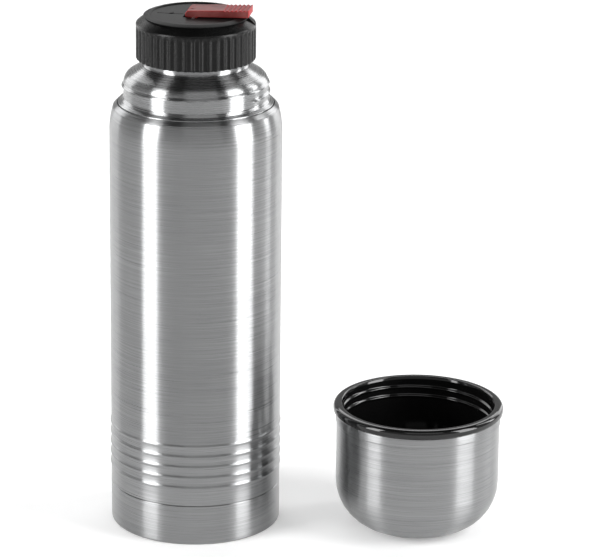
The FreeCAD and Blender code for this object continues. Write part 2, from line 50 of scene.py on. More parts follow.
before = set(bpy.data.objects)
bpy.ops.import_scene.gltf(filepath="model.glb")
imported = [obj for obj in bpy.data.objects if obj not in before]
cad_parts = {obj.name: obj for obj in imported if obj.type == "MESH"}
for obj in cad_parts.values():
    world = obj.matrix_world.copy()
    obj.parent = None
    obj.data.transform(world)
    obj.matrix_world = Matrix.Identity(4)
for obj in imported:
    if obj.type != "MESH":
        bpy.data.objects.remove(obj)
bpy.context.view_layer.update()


# ---------------------------------------------------------------- sizes from the frame

def middle(node):
    low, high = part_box(node)
    return (Vector(low) + Vector(high)) / 2


def bottom(node):
    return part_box(node)[0][2]


def top(node):
    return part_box(node)[1][2]


def radius(node):
    low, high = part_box(node)
    return (high[0] - low[0]) / 2


SHELL_RADIUS = radius("base_cap")
SEAM = bottom("outer_shell")
SHOULDER_TOP = top("outer_shell")
NECK_TOP = top("neck_collar")
CAP_RADIUS = radius("stopper_cap")
CAP_LOW = bottom("stopper_cap")
CAP_TOP = top("stopper_cap")
DISC_RADIUS = radius("top_disc")
DISC_TOP = top("top_disc")
CUP_CENTRE = middle("cup_shell")
CUP_TOP = top("cup_shell")
LINER_TOP = top("cup_liner")
LIP_RADIUS = radius("cup_liner")
CUP_RADIUS = radius("cup_shell")


# ---------------------------------------------------------------- mesh tools

def rounded(corners, closed=True):
    """Corners (radius, height, rounding) become a list of points with each rounded corner as an arc."""
    points = []
    count = len(corners)
    for index, corner in enumerate(corners):
        here = Vector(corner[:2])
        rounding = corner[2] if len(corner) > 2 else 0
        if not rounding or (not closed and index in (0, count - 1)):
            points.append(here)
            continue
        to_last = (Vector(corners[index - 1][:2]) - here).normalized()
        to_next = (Vector(corners[(index + 1) % count][:2]) - here).normalized()
        half = to_last.angle(to_next) / 2
        if half > math.pi / 2 - 0.01:
            points.append(here)
            continue
        reach = rounding / math.tan(half)
        centre = here + (to_last + to_next).normalized() * (rounding / math.sin(half))
        start = here + to_last * reach - centre
        end = here + to_next * reach - centre
        sweep = start.angle_signed(end)
        steps = max(2, math.ceil(abs(sweep) / (math.pi / 2) * ARC_STEPS))
        for step in range(steps + 1):
            angle = -sweep * step / steps
            turned = Matrix.Rotation(angle, 2) @ start
            points.append(centre + turned)
    return [(point.x, point.y) for point in points]


def new_piece(name, mesh, material, body, nodes, sharp=SHARP_ANGLE):
    """Put a mesh in the scene in place of CAD nodes. It rides on a body, or on none."""
    piece = bpy.data.objects.new(name, mesh)
    bpy.context.scene.collection.objects.link(piece)
    mesh.materials.append(material)
    mesh.shade_smooth()
    mesh.set_sharp_from_angle(angle=math.radians(sharp))
    if body:
        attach(piece, body)
    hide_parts(*nodes)
    return piece


def lathe(name, points, centre=(0, 0), steps=ROUND_STEPS, shape=None):
    """Turn a closed outline of (radius, height) points. shape may move a point by its place and angle."""
    on_axis = 1e-7
    data = bmesh.new()
    rings = []
    for across, up in points:
        if across < on_axis:
            rings.append([data.verts.new((centre[0], centre[1], up))])
            continue
        ring = []
        for step in range(steps):
            angle = 2 * math.pi * step / steps
            r, z = shape(across, up, angle) if shape else (across, up)
            place = (centre[0] + r * math.cos(angle), centre[1] + r * math.sin(angle), z)
            ring.append(data.verts.new(place))
        rings.append(ring)
    for first, second in zip(rings, rings[1:] + rings[:1]):
        if len(first) == 1 and len(second) == 1:
            continue
        for step in range(steps):
            after = (step + 1) % steps
            corners = [first[step % len(first)], first[after % len(first)],
                       second[after % len(second)], second[step % len(second)]]
            unique = list(dict.fromkeys(corners))
            data.faces.new(unique)
    bmesh.ops.recalc_face_normals(data, faces=data.faces)
    mesh = bpy.data.meshes.new(name)
    data.to_mesh(mesh)
    data.free()
    return mesh


def divided(points, spacing, wanted):
    """Add points along the stretches that are wanted, so that a shape function can bend them."""
    finer = []
    for first, second in zip(points, points[1:]):
        steps = max(1, round(math.dist(first, second) / spacing)) if wanted(first, second) else 1
        for step in range(steps):
            share = step / steps
            across = first[0] + (second[0] - first[0]) * share
            up = first[1] + (second[1] - first[1]) * share
            finer.append((across, up))
    finer.append(points[-1])
    return finer


def smooth_step(value):
    """Ease from 0 to 1 without a kink at either end."""
    value = min(1, max(0, value))
    return value * value * (3 - 2 * value)


def prism(outline, low, high, along):
    """A solid with the given outline in the plane across an axis, from low to high along that axis."""
    axes = {"X": (2, 0, 1), "Y": (0, 2, 1), "Z": (0, 1, 2)}[along]
    data = bmesh.new()
    ends = []
    for level in (low, high):
        corners = [(first, second, level) for first, second in outline]
        ends.append([data.verts.new([corner[axis] for axis in axes]) for corner in corners])
    data.faces.new(ends[0])
    data.faces.new(ends[1])
    count = len(outline)
    for index in range(count):
        after = (index + 1) % count
        data.faces.new((ends[0][index], ends[0][after], ends[1][after], ends[1][index]))
    bmesh.ops.recalc_face_normals(data, faces=data.faces)
    mesh = bpy.data.meshes.new("prism")
    data.to_mesh(mesh)
    data.free()
    return mesh


def slab(back, front, half, low, high):
    """A box from back to front along X, as wide as half on each side of Y = 0."""
    return prism([(back, -half), (front, -half), (front, half), (back, half)], low, high, "Z")


def arc(centre, size, first, last, steps):
    """Points along an arc, from one angle to another in degrees."""
    points = []
    for step in range(steps + 1):
        angle = math.radians(first + (last - first) * step / steps)
        points.append((centre[0] + size * math.cos(angle), centre[1] + size * math.sin(angle)))
    return points


def apply_modifiers(piece):
    """Bake a piece's modifiers into its mesh."""
    depsgraph = bpy.context.evaluated_depsgraph_get()
    result = bpy.data.meshes.new_from_object(piece.evaluated_get(depsgraph))
    piece.modifiers.clear()
    old = piece.data
    piece.data = result
    bpy.data.meshes.remove(old)


def combine(piece, other_mesh, operation):
    """Join another solid to a piece or take it away, for good."""
    other = bpy.data.objects.new("other", other_mesh)
    bpy.context.scene.collection.objects.link(other)
    step = piece.modifiers.new("combine", "BOOLEAN")
    step.operation = operation
    step.object = other
    step.solver = "EXACT"
    apply_modifiers(piece)
    bpy.data.objects.remove(other)
    bpy.data.meshes.remove(other_mesh)
    piece.data.set_sharp_from_angle(angle=math.radians(CUT_SHARP_ANGLE))


# ---------------------------------------------------------------- material tools

class Nodes:
    """A short way to write a node tree."""

    def __init__(self, name):
        self.material = bpy.data.materials.new(name)
        self.material.use_nodes = True
        self.tree = self.material.node_tree
        self.tree.nodes.clear()
        self.shader = self.add("ShaderNodeBsdfPrincipled")
        output = self.add("ShaderNodeOutputMaterial")
        self.link(self.shader.outputs[0], output.inputs[0])
        self.place = self.add("ShaderNodeTexCoord").outputs["Object"]

    def add(self, kind, **settings):
        node = self.tree.nodes.new(kind)
        for key, value in settings.items():
            setattr(node, key, value)
        return node

    def link(self, source, target):
        self.tree.links.new(source, target)

    def set(self, **values):
        """Set the shader's own sockets; an underscore stands for a space in a socket's name."""
        for key, value in values.items():
            self.shader.inputs[key.replace("_", " ")].default_value = value

    def scaled(self, scale):
        mapping = self.add("ShaderNodeMapping")
        mapping.inputs["Scale"].default_value = scale
        self.link(self.place, mapping.inputs["Vector"])
        return mapping.outputs[0]

    def noise(self, scale, detail=3.0, roughness=0.5, stretch=(1, 1, 1)):
        """Noise in the piece's own space; a larger stretch along an axis makes it finer along that axis."""
        noise = self.add("ShaderNodeTexNoise")
        noise.inputs["Scale"].default_value = scale
        noise.inputs["Detail"].default_value = detail
        noise.inputs["Roughness"].default_value = roughness
        self.link(self.scaled(stretch), noise.inputs["Vector"])
        return noise.outputs["Fac"]

    def ramp(self, source, stops):
        ramp = self.add("ShaderNodeValToRGB")
        elements = ramp.color_ramp.elements
        while len(elements) < len(stops):
            elements.new(0.5)
        for element, (position, colour) in zip(elements, stops):
            element.position = position
            element.color = (*colour, 1)
        self.link(source, ramp.inputs["Fac"])
        return ramp.outputs["Color"]

    def span(self, source, low, high):
        node = self.add("ShaderNodeMapRange")
        node.inputs["To Min"].default_value = low
        node.inputs["To Max"].default_value = high
        self.link(source, node.inputs["Value"])
        return node.outputs["Result"]

    def math(self, operation, first, second):
        node = self.add("ShaderNodeMath", operation=operation)
        for index, value in enumerate((first, second)):
            if isinstance(value, (int, float)):
                node.inputs[index].default_value = value
            else:
                self.link(value, node.inputs[index])
        return node.outputs[0]

    def mixed(self, first, share, second):
        """Add two sources, the first with its share and the second with the rest."""
        return self.math("ADD", self.math("MULTIPLY", first, share), self.math("MULTIPLY", second, 1 - share))

    def bump(self, height, distance, strength):
        node = self.add("ShaderNodeBump")
        node.inputs["Distance"].default_value = distance
        node.inputs["Strength"].default_value = strength
        self.link(height, node.inputs["Height"])
        self.link(node.outputs[0], self.shader.inputs["Normal"])


def brushed_steel(name, tone=0.285, roughness=0.29):
    """Steel brushed round the piece: streaks that are long round it and fine along it."""
    made = Nodes(name)
    fine = made.noise(1.0, detail=2.0, roughness=0.6, stretch=(22, 22, 5200))
    middling = made.noise(1.0, detail=2.0, roughness=0.55, stretch=(9, 9, 2200))
    cloud = made.noise(14.0)
    streaks = made.mixed(fine, 0.8, middling)
    clouded = made.mixed(streaks, 0.85, cloud)
    dark = (tone * 0.79, tone * 0.80, tone * 0.81)
    pale = (tone * 1.21, tone * 1.22, tone * 1.23)
    unevenness = 0.06
    made.link(made.ramp(clouded, [(0.36, dark), (0.64, pale)]), made.shader.inputs["Base Color"])
    uneven = made.span(streaks, roughness - unevenness, roughness + unevenness)
    made.link(uneven, made.shader.inputs["Roughness"])
    made.set(Metallic=1.0, Anisotropic=1.0, Anisotropic_Rotation=0.25)
    tangent = made.add("ShaderNodeTangent", direction_type="RADIAL", axis="Z")
    made.link(tangent.outputs[0], made.shader.inputs["Tangent"])
    made.bump(streaks, distance=0.000010, strength=0.5)
    return made.material


def plain_metal(name, tone, roughness):
    """Drawn or rolled metal with an even, fine grain."""
    made = Nodes(name)
    grain = made.noise(900.0)
    dark = tuple(part * 0.85 for part in tone)
    made.link(made.ramp(grain, [(0.3, dark), (0.7, tone)]), made.shader.inputs["Base Color"])
    made.link(made.span(grain, roughness - 0.05, roughness + 0.08), made.shader.inputs["Roughness"])
    made.set(Metallic=1.0)
    made.bump(grain, distance=0.00002, strength=0.4)
    return made.material


def moulded(name, dark, pale, roughness, grain_scale=2600.0, grain_depth=0.00004, specular=0.5):
    """Moulded plastic or rubber: a fine skin grain, and a slight cloudiness in its colour and gloss."""
    made = Nodes(name)
    grain = made.noise(grain_scale, detail=2.0, roughness=0.6)
    cloud = made.noise(60.0)
    clouded = made.mixed(grain, 0.5, cloud)
    made.link(made.ramp(clouded, [(0.35, dark), (0.65, pale)]), made.shader.inputs["Base Color"])
    made.link(made.span(clouded, roughness * 0.75, roughness * 1.25), made.shader.inputs["Roughness"])
    made.set(IOR=1.48, Specular_IOR_Level=specular)
    made.bump(grain, distance=grain_depth, strength=0.7)
    return made.material


def red_plastic():
    """The lever's slightly translucent red plastic, with painted light and shade: by which way each face
    points, broad faces get a duller, browner red and edges and ends a brighter red.
    """
    made = Nodes("lever_red")
    mottle = made.noise(90.0, detail=4.0, roughness=0.6, stretch=(1, 2.2, 1))
    grain = made.noise(2200.0, detail=2.0)
    # Painted light: this brighter red is the colour that edges and ends show.
    lit_edge_red = (0.30, 0.006, 0.008, 1)
    facing = made.add("ShaderNodeSeparateXYZ")
    made.link(made.add("ShaderNodeTexCoord").outputs["Normal"], facing.inputs[0])
    sideways = made.math("ABSOLUTE", facing.outputs["Y"], 0)
    upright = made.math("ABSOLUTE", facing.outputs["Z"], 0)
    # Painted shade: faces that point sideways or up take the duller, browner red, which carries a random
    # mottle.
    shaded_face_mask = made.ramp(made.math("MAXIMUM", sideways, upright), [(0.90, (0, 0, 0)), (0.99, (1, 1, 1))])
    shaded_red_mottled = made.ramp(mottle, [(0.36, (0.12, 0.020, 0.019)), (0.64, (0.20, 0.050, 0.046))])
    mix = made.add("ShaderNodeMix", data_type="RGBA")
    made.link(shaded_face_mask, mix.inputs["Factor"])
    mix.inputs["A"].default_value = lit_edge_red
    made.link(shaded_red_mottled, mix.inputs["B"])
    made.link(mix.outputs["Result"], made.shader.inputs["Base Color"])
    made.link(made.span(mottle, 0.34, 0.55), made.shader.inputs["Roughness"])
    made.set(IOR=1.49, Specular_IOR_Level=0.25)
    made.set(Subsurface_Weight=0.2, Subsurface_Radius=(0.0030, 0.0006, 0.0005), Subsurface_Scale=1.0)
    made.bump(grain, distance=0.00003, strength=0.5)
    return made.material


STEEL = brushed_steel("steel_brushed_body")
NECK_STEEL = brushed_steel("steel_brushed_neck", tone=0.29, roughness=0.27)
PLAIN_STEEL = plain_metal("steel_drawn", (0.50, 0.50, 0.51), 0.28)
FOIL = plain_metal("foil_bright", (0.72, 0.72, 0.73), 0.20)
BLACK = moulded("plastic_black_matte", (0.002, 0.002, 0.002), (0.006, 0.006, 0.006), 0.27, specular=0.22)
BLACK_DISC = moulded("plastic_black_disc", (0.003, 0.003, 0.003), (0.008, 0.008, 0.008), 0.42, specular=0.10)
BLACK_GLOSS = moulded("plastic_black_gloss", (0.003, 0.003, 0.003), (0.006, 0.006, 0.006), 0.08,
                      grain_scale=1200.0, grain_depth=0.000002)
RED = red_plastic()
WHITE = moulded("plastic_white_satin", (0.62, 0.62, 0.60), (0.76, 0.76, 0.74), 0.42)
FOAM = moulded("foam_cream", (0.62, 0.59, 0.52), (0.80, 0.77, 0.70), 0.85,
               grain_scale=700.0, grain_depth=0.0003)
SILICONE = moulded("silicone_grey", (0.40, 0.40, 0.39), (0.56, 0.56, 0.55), 0.55)
SEAL_GLASS = moulded("seal_glass_grey", (0.20, 0.21, 0.23), (0.30, 0.31, 0.33), 0.2)


# ---------------------------------------------------------------- flask body

BEAD_COUNT = 5
BEAD_PITCH = 5.77 * MM
BEAD_FIRST = SEAM + 10.1 * MM
BEAD_HALF = 1.3 * MM
BEAD_STEPS = 12
DRAW_STEPS = 8  # segments in the stretch of jacket that draws in
WALL = 0.6 * MM
BEAD_RISE = radius("outer_shell") - SHELL_RADIUS


def bead_points(height):
    """The outline of one rolled bead, from its foot to its top: round, with eased edges."""
    points = []
    for step in range(BEAD_STEPS + 1):
        share = step / BEAD_STEPS
        lift = BEAD_RISE * math.sin(math.pi * share) ** 1.5
        points.append((SHELL_RADIUS + lift, height + BEAD_HALF * (2 * share - 1)))
    return points


def make_outer_shell():
    """The jacket: rolled beads above the foot, and a top that draws in to a crease and a sloping edge."""
    edge = radius("neck_collar") - 0.9 * MM
    edge_height = SHOULDER_TOP - 0.5 * MM
    crease = SHOULDER_TOP - 3.1 * MM
    bend = 12 * MM
    drawn_in = 1.8 * MM
    points = rounded([
        (SHELL_RADIUS - WALL, SEAM),
        (SHELL_RADIUS, SEAM, 0.5 * MM),
        (SHELL_RADIUS, SEAM + 3 * MM),
    ], closed=False)[:-1]
    for index in range(BEAD_COUNT):
        points += bead_points(BEAD_FIRST + index * BEAD_PITCH)
    for step in range(DRAW_STEPS + 1):
        share = step / DRAW_STEPS
        points.append((SHELL_RADIUS - drawn_in * share ** 2, crease - bend * (1 - share)))
    points += rounded([
        (SHELL_RADIUS - drawn_in - 0.25 * MM, crease + 0.2 * MM, 0.1 * MM),
        (SHELL_RADIUS - drawn_in - 0.15 * MM, crease + 0.5 * MM, 0.1 * MM),
        (edge, edge_height, 0.15 * MM),
        (edge, edge_height - WALL),
        (SHELL_RADIUS - WALL - drawn_in, crease - 0.3 * MM, 2.0 * MM),
        (SHELL_RADIUS - WALL, crease - bend),
    ], closed=False)
    mesh = lathe("jacket", points)
    new_piece("jacket", mesh, STEEL, "vessel", ["outer_shell"])


def make_base():
    """The foot can: a straight wall with a rounded lower edge and a pressed ring in its underside."""
    inner = SHELL_RADIUS - WALL
    spigot = inner - 0.1 * MM
    seam = SEAM - 0.1 * MM
    ring_inner = 31.0 * MM
    ring_outer = 33.0 * MM
    ring_side = 0.3 * MM
    ring_depth = 0.25 * MM
    points = rounded([
        (0, 0),
        (ring_inner, 0, 0.2 * MM),
        (ring_inner + ring_side, ring_depth, 0.1 * MM),
        (ring_outer - ring_side, ring_depth, 0.1 * MM),
        (ring_outer, 0, 0.2 * MM),
        (SHELL_RADIUS, 0, 1.5 * MM),
        (SHELL_RADIUS, seam, 0.35 * MM),
        (spigot, seam),
        (spigot, top("base_cap"), 0.2 * MM),
        (spigot - WALL, top("base_cap"), 0.2 * MM),
        (spigot - WALL, WALL, 1.0 * MM),
        (0, WALL),
    ])
    mesh = lathe("foot_can", points)
    new_piece("foot_can", mesh, STEEL, "vessel", ["base_cap"])


THREAD_PITCH = 5.0 * MM
THREAD_START = math.radians(-33)
THREAD_RUN_IN = 0.03  # turns over which the ridge rises at its start
THREAD_RUN_OUT = 0.06  # turns over which it fades at its end


def thread_lift(up, angle, start_height, above, below, rise, turns):
    """How far a right-hand thread's ridge stands out; above and below say how far it spreads either way."""
    lift = 0
    turned = (angle - THREAD_START) % (2 * math.pi) / (2 * math.pi)
    for lap in range(math.ceil(turns)):
        along = turned + lap
        if along > turns:
            break
        higher = up - (start_height + along * THREAD_PITCH)
        away = higher / above if higher > 0 else -higher / below
        fade = smooth_step(along / THREAD_RUN_IN) * smooth_step((turns - along) / THREAD_RUN_OUT)
        if away < 1:
            lift = max(lift, rise * fade * smooth_step(1 - away))
    return lift


def make_neck():
    """The drawn steel neck: ledge, wall with the cup's thread, round dome and mouth tube."""
    edge = radius("neck_collar") - 1.3 * MM
    edge_height = SHOULDER_TOP - 0.1 * MM
    neck = 37.6 * MM
    mouth = 27.0 * MM
    foot = SHOULDER_TOP + 1.0 * MM
    wall_low = foot + 1.6 * MM
    dome = SHOULDER_TOP + 13.6 * MM
    wall_high = dome - 3.0 * MM
    root = SHOULDER_TOP + 19.7 * MM
    outer = rounded([
        (edge, edge_height - 0.9 * MM),
        (edge, edge_height, 0.25 * MM),
        (neck + 1.0 * MM, foot, 0.8 * MM),
        (neck, wall_low, 0.8 * MM),
        (neck, dome, 6.0 * MM),
        (mouth, root, 1.6 * MM),
        (mouth, NECK_TOP - 0.05 * MM, 0.2 * MM),
        (mouth - WALL, NECK_TOP - 0.05 * MM),
    ], closed=False)
    points = divided(outer, 0.15 * MM, lambda first, second: min(first[0], second[0]) > neck - 0.5 * MM)
    points += [
        (mouth - WALL, root - 0.3 * MM),
        (neck - WALL - 1.2 * MM, dome - 0.8 * MM),
        (neck - WALL, wall_high),
        (neck - WALL, foot - 0.3 * MM),
    ]
    start_height = SHOULDER_TOP + 5.2 * MM

    def shape(across, up, angle):
        if across < neck - 0.5 * MM or not wall_low < up < dome:
            return across, up
        lift = thread_lift(up, angle, start_height,
                           above=1.9 * MM, below=0.35 * MM, rise=1.0 * MM, turns=1.15)
        return across + lift, up

    mesh = lathe("neck", points, steps=NECK_STEPS, shape=shape)
    new_piece("neck", mesh, NECK_STEEL, "vessel", ["neck_collar"])


# ---------------------------------------------------------------- stopper

FLUTE_COUNT = 48
FLUTE_STEPS = 20  # segments round the grip for each flute
FLUTE_ROWS = 44  # rows of faces along a flute
FLUTE_DEPTH = 0.62 * MM
FLUTE_HALF = 1.65 * MM


def make_grip():
    """The fluted grip: round flutes with round tops under a sloping, softly rounded shoulder."""
    flute_top = CAP_LOW + 16.7 * MM
    shoulder = CAP_LOW + 17.6 * MM
    skirt = 29.6 * MM
    seat = 25.3 * MM
    well = 13.8 * MM
    deck_low = CAP_LOW + 15.3 * MM
    deck_high = CAP_LOW + 19.3 * MM
    top_edge = 26.6 * MM
    chamfer = 0.4 * MM
    low = CAP_LOW - 0.8 * MM
    wall_low = low + chamfer
    flute_radius = (FLUTE_HALF ** 2 + FLUTE_DEPTH ** 2) / (2 * FLUTE_DEPTH)
    outer = [(CAP_RADIUS - chamfer, low)]
    for row in range(FLUTE_ROWS + 1):
        outer.append((CAP_RADIUS, wall_low + (flute_top - wall_low) * row / FLUTE_ROWS))
    slope = rounded([
        outer[-1],
        (CAP_RADIUS, shoulder + 0.2 * MM, 1.3 * MM),
        (top_edge, CAP_TOP, 0.5 * MM),
        (seat, CAP_TOP),
    ], closed=False)
    inside = [(seat, deck_high), (well, deck_high), (well, deck_low), (skirt, deck_low), (skirt, low)]

    def shape(across, up, angle):
        if across < CAP_RADIUS - 0.5 * MM or up > flute_top:
            return across, up
        pitch = 2 * math.pi / FLUTE_COUNT
        aside = abs(angle % pitch - pitch / 2) * CAP_RADIUS
        beyond = max(0, FLUTE_HALF - (flute_top - up))
        away = min(math.hypot(aside, beyond), FLUTE_HALF)
        return across - math.sqrt(flute_radius ** 2 - away ** 2) + flute_radius - FLUTE_DEPTH, up

    mesh = lathe("grip", outer + slope[1:] + inside, steps=FLUTE_COUNT * FLUTE_STEPS, shape=shape)
    grip = new_piece("grip", mesh, BLACK, "stopper", ["stopper_cap"], sharp=50)
    spout_half = 4.5 * MM
    spout_depth = 4.5 * MM
    above = CAP_TOP + 0.5 * MM
    spout = [(-spout_half, above), (0, above - spout_depth), (spout_half, above)]
    combine(grip, prism(spout, well, CAP_RADIUS + 5 * MM, "X"), "DIFFERENCE")


PIN_HEIGHT = middle("lever_pin").z
PIN_RADIUS = 0.9 * MM
LEVER_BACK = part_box("pour_lever")[0][0]
LEVER_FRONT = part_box("pour_lever")[1][0]
LEVER_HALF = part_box("pour_lever")[1][1]
LEVER_TOP = top("pour_lever")


def make_disc():
    """The disc: a sloping rim, a rounded lip, the lever's well and a shallow generic pointer."""
    spigot = 25.2 * MM
    deck = CAP_TOP - 1.9 * MM
    rim_low = DISC_TOP - 1.4 * MM
    rim_high = DISC_TOP - 0.9 * MM
    face = DISC_TOP - 0.7 * MM
    lip = 24.7 * MM
    mesh = lathe("disc", rounded([
        (0, deck),
        (spigot, deck),
        (spigot, rim_low),
        (DISC_RADIUS - 0.1 * MM, rim_low + 0.1 * MM),
        (DISC_RADIUS, rim_high, 0.12 * MM),
        (lip, DISC_TOP, 0.4 * MM),
        (lip - 1.2 * MM, DISC_TOP, 0.3 * MM),
        (lip - 1.6 * MM, face, 0.2 * MM),
        (0, face),
    ]))
    disc = new_piece("disc", mesh, BLACK_DISC, "stopper", ["top_disc"])
    back = -5.7 * MM
    front = 2.6 * MM
    half = LEVER_HALF + 0.3 * MM
    floor = CAP_TOP - 4.9 * MM
    wall = 1.2 * MM
    combine(disc, slab(back - wall, front + wall, half + wall, floor - wall, deck + 1 * MM), "UNION")
    combine(disc, slab(back, front, half, floor, DISC_TOP + 1 * MM), "DIFFERENCE")
    stem_hole = arc((0, 0), 2.3 * MM, 0, 352.5, 47)
    combine(disc, prism(stem_hole, floor - 2 * MM, floor + 1 * MM, "Z"), "DIFFERENCE")
    low = face - 0.35 * MM
    high = face + 2 * MM
    combine(disc, slab(-20.5 * MM, -6.6 * MM, 0.35 * MM, low, high), "DIFFERENCE")
    head = [(-15.2 * MM, 0), (-11.8 * MM, -1.9 * MM), (-11.8 * MM, 1.9 * MM)]
    combine(disc, prism(head, low - 0.05 * MM, high, "Z"), "DIFFERENCE")


def make_lever():
    """The red lever: a blade rising to a gripped tip, its hub on the pin and its cam over the valve."""
    under_back = 276.9 * MM  # the underside's height at the heel
    under_front = under_back + 0.85 * MM
    top_back = LEVER_TOP - 1.4 * MM
    slope = (LEVER_TOP - top_back) / (LEVER_FRONT - LEVER_BACK)
    under_slope = (under_front - under_back) / (LEVER_FRONT - LEVER_BACK)
    hub = 1.6 * MM
    bevel = 1.2 * MM
    grooves = 6
    pitch = 2.2 * MM
    depth = 0.5 * MM
    half_groove = 0.7 * MM
    pin_gap = 0.05 * MM
    cam_offset = 1.35 * MM
    cam_radius = 3.05 * MM
    cam_half = 3 * MM

    def top_at(across):
        return top_back + (across - LEVER_BACK) * slope

    def under_at(across):
        return under_back + (across - LEVER_BACK) * under_slope

    outline = [(LEVER_BACK + 0.25 * MM, under_back), (-hub, under_at(-hub)), (-hub, PIN_HEIGHT)]
    outline += arc((0, PIN_HEIGHT), hub, 180, 360, 20)[1:]
    outline += [
        (hub, under_at(hub)),
        (LEVER_FRONT - 0.3 * MM, under_front),
        (LEVER_FRONT, under_front + 0.3 * MM),
        (LEVER_FRONT, LEVER_TOP - 0.35 * MM),
        (LEVER_FRONT - 0.1 * MM, LEVER_TOP - 0.1 * MM),
        (LEVER_FRONT - 0.4 * MM, top_at(LEVER_FRONT - 0.4 * MM)),
    ]
    for number in range(grooves):
        centre = LEVER_FRONT - 1.3 * MM - number * pitch
        for share, drop in ((1, 0), (0.55, 0.55), (0.2, 0.95), (-0.2, 0.95), (-0.55, 0.55), (-1, 0)):
            outline.append((centre + half_groove * share, top_at(centre) - depth * drop))
    outline += [
        (LEVER_BACK + bevel + 0.3 * MM, top_at(LEVER_BACK + bevel)),
        (LEVER_BACK + bevel, top_back - 0.05 * MM),
        (LEVER_BACK + 0.1 * MM, top_back - bevel),
        (LEVER_BACK, top_back - bevel - 0.3 * MM),
        (LEVER_BACK, under_back + 0.25 * MM),
    ]
    mesh = prism(outline, -LEVER_HALF, LEVER_HALF, "Y")
    lever = new_piece("lever", mesh, RED, "lever", ["pour_lever"], sharp=30)
    soften = lever.modifiers.new("soften", "BEVEL")
    soften.width = 0.28 * MM
    soften.segments = 3
    soften.limit_method = "ANGLE"
    soften.angle_limit = math.radians(60)
    apply_modifiers(lever)
    cam = arc((-cam_offset, PIN_HEIGHT + cam_offset), cam_radius, 0, 354, 59)
    combine(lever, prism(cam, -cam_half, cam_half, "Y"), "UNION")
    hole = arc((0, PIN_HEIGHT), PIN_RADIUS + pin_gap, 0, 350, 35)
    combine(lever, prism(hole, -LEVER_HALF - 1 * MM, LEVER_HALF + 1 * MM, "Y"), "DIFFERENCE")


def make_spring():
    """The valve's coil spring: its foot on the guide and its head under the retainer."""
    wire = 0.5 * MM
    coil = 4.2 * MM
    turns = 6
    steps = turns * 36
    sides = 12
    low = top("stem_guide") + wire
    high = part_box("spring_retainer")[0][2] - wire
    data = bmesh.new()
    rings = []
    for step in range(steps + 1):
        angle = 2 * math.pi * turns * step / steps
        height = low + (high - low) * step / steps
        ring = []
        for side in range(sides):
            tilt = 2 * math.pi * side / sides
            across = coil + wire * math.cos(tilt)
            place = (across * math.cos(angle), across * math.sin(angle), height + wire * math.sin(tilt))
            ring.append(data.verts.new(place))
        rings.append(ring)
    for first, second in zip(rings, rings[1:]):
        for side in range(sides):
            after = (side + 1) % sides
            data.faces.new((first[side], first[after], second[after], second[side]))
    data.faces.new(rings[0])
    data.faces.new(rings[-1])
    bmesh.ops.recalc_face_normals(data, faces=data.faces)
    mesh = bpy.data.meshes.new("spring")
    data.to_mesh(mesh)
    data.free()
    spring = new_piece("spring", mesh, PLAIN_STEEL, None, ["valve_spring"])
    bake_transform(spring)


# ---------------------------------------------------------------- cup

def make_cup():
    """The steel cup: big round bottom, straight wall, and a rolled band under the lip."""
    wall = 0.5 * MM
    body = CUP_RADIUS - 0.5 * MM
    band_low = CUP_TOP - 4.6 * MM
    points = rounded([
        (0, 0),
        (body, 0, 25.5 * MM),
        (body, band_low - 0.4 * MM, 0.3 * MM),
        (CUP_RADIUS, band_low + 0.1 * MM, 0.4 * MM),
        (CUP_RADIUS, CUP_TOP, 0.2 * MM),
        (body - wall, CUP_TOP),
        (body - wall, wall, 25.0 * MM),
        (0, wall),
    ])
    mesh = lathe("cup_steel", points, CUP_CENTRE[:2])
    new_piece("cup_steel", mesh, STEEL, "cup", ["cup_shell"])


def make_liner():
    """The glossy liner with its thick rounded lip and the cup's thread inside."""
    outer = CUP_RADIUS - 1.2 * MM
    inner = 40.2 * MM
    under = 0.7 * MM
    floor = 3.2 * MM
    bowl = rounded([
        (0, under),
        (outer, under, 24.8 * MM),
        (outer, CUP_TOP, 0.1 * MM),
        (LIP_RADIUS, CUP_TOP, 1.6 * MM),
        (LIP_RADIUS, LINER_TOP, 2.4 * MM),
        (inner + 0.4 * MM, LINER_TOP, 0.8 * MM),
        (inner, LINER_TOP - 1.5 * MM, 0.5 * MM),
        (inner, floor, 20.0 * MM),
        (0, floor),
    ])

    def upright_or_inside(first, second):
        return first[0] == second[0] or max(first[0], second[0]) < inner

    points = divided(bowl, 0.2 * MM, upright_or_inside)
    thread_start = LINER_TOP - 12.9 * MM
    thread_low = thread_start - 2 * MM

    def shape(across, up, angle):
        if abs(across - inner) > 0.02 * MM or up < thread_low:
            return across, up
        lift = thread_lift(up, angle, thread_start,
                           above=1.3 * MM, below=1.3 * MM, rise=0.9 * MM, turns=1.8)
        return across - lift, up

    mesh = lathe("cup_liner_bowl", points, CUP_CENTRE[:2], shape=shape)
    new_piece("cup_liner_bowl", mesh, BLACK_GLOSS, "cup", ["cup_liner"])


# ---------------------------------------------------------------- stage

def make_floor():
    """The pale sweep that the flask stands on."""
    bpy.ops.mesh.primitive_plane_add(size=14, location=(0, 0, 0))
    floor = bpy.context.object
    floor.name = "floor"
    made = Nodes("floor_pale")
    speck = made.noise(30.0, 2.0)
    made.link(made.ramp(speck, [(0.3, (0.84, 0.84, 0.84)), (0.7, (0.86, 0.86, 0.86))]),
              made.shader.inputs["Base Color"])
    made.set(Roughness=0.9, Specular_IOR_Level=0.0, Emission_Color=(1, 1, 1, 1), Emission_Strength=0.22)
    floor.data.materials.append(made.material)


CAMERA_DISTANCE = 1.80
CAMERA_HEIGHT = 0.729
FLASK_TURN = math.radians(10.17)  # how far the lever points towards the camera
CAMERA_SWING = math.radians(1.734)  # how far the view swings right of the flask
CAMERA_PITCH = math.radians(18.30)
CAMERA_ROLL = math.radians(0.588)
CAMERA_LENS = 216.2


